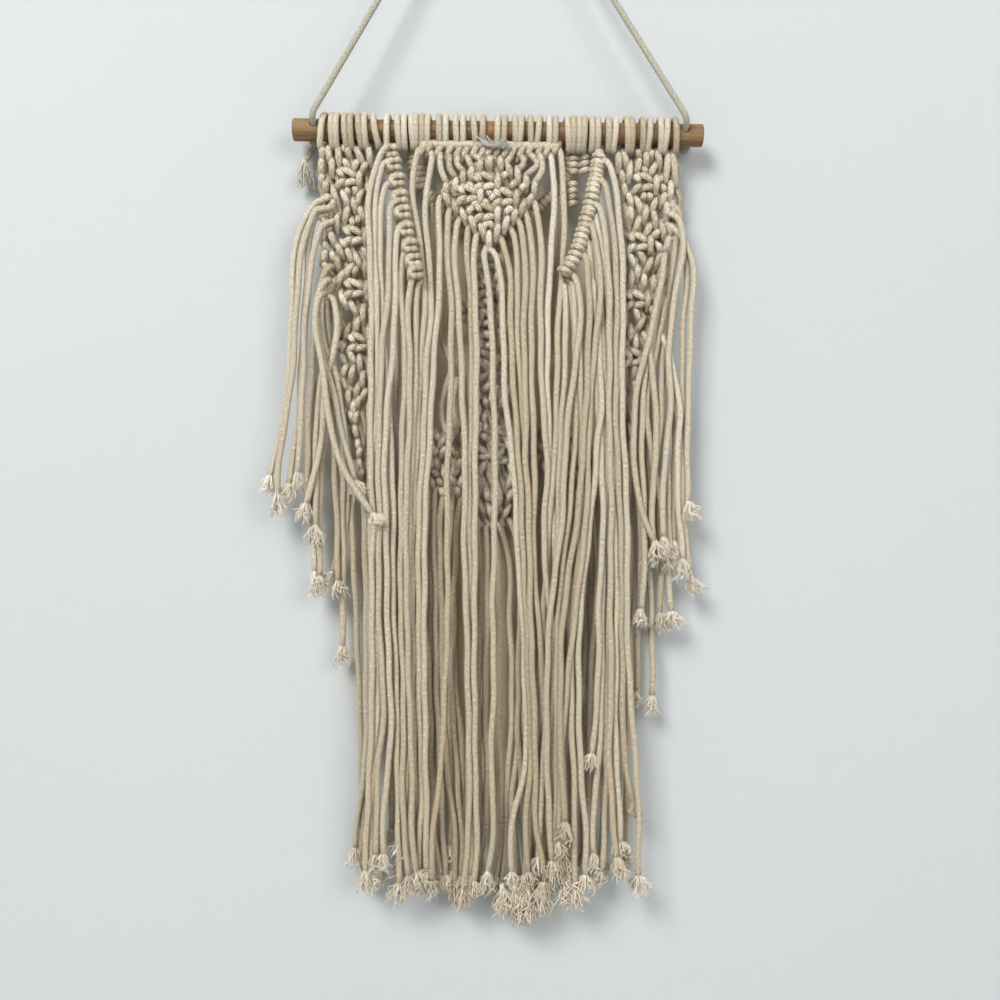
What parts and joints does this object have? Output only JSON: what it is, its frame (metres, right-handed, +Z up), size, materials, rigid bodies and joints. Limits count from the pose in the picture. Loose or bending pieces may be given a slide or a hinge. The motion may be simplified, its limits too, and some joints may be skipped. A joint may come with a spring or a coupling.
{
  "type": "macrame wall hanging on a wooden dowel",
  "caption": "Knotted cotton-cord wall hanging on a round oak dowel, with a diamond of square knots, side nets, a long frayed fringe and a braided hanging cord.",
  "frame": {"origin": "the hanging point: where a peg or nail in the wall carries the top of the hanging cord", "axes": "+X to the viewer's right along the dowel, +Z up, and the front faces -Y with the wall behind at +Y"},
  "size_m": [0.299, 0.0448, 0.7588],
  "materials": {
    "oiled_oak": "oiled oak with open grain",
    "cotton_cord": "matte natural braided cotton",
    "braided_hanging_cord": "matte greyish braided cotton",
    "white_thread": "fluffy white thread"
  },
  "bodies": {
    "root": {"dowel": "oiled_oak", "hanging_cord": "braided_hanging_cord", "hanging_cord_tail": "braided_hanging_cord", "hanging_cord_knot": "braided_hanging_cord", "net_left": "cotton_cord", "net_right": "cotton_cord", "band_left": "cotton_cord", "band_right": "cotton_cord", "panel_centre": "cotton_cord", "net_back": "cotton_cord", "tie_thread": "white_thread"}
  },
  "joints": []
}
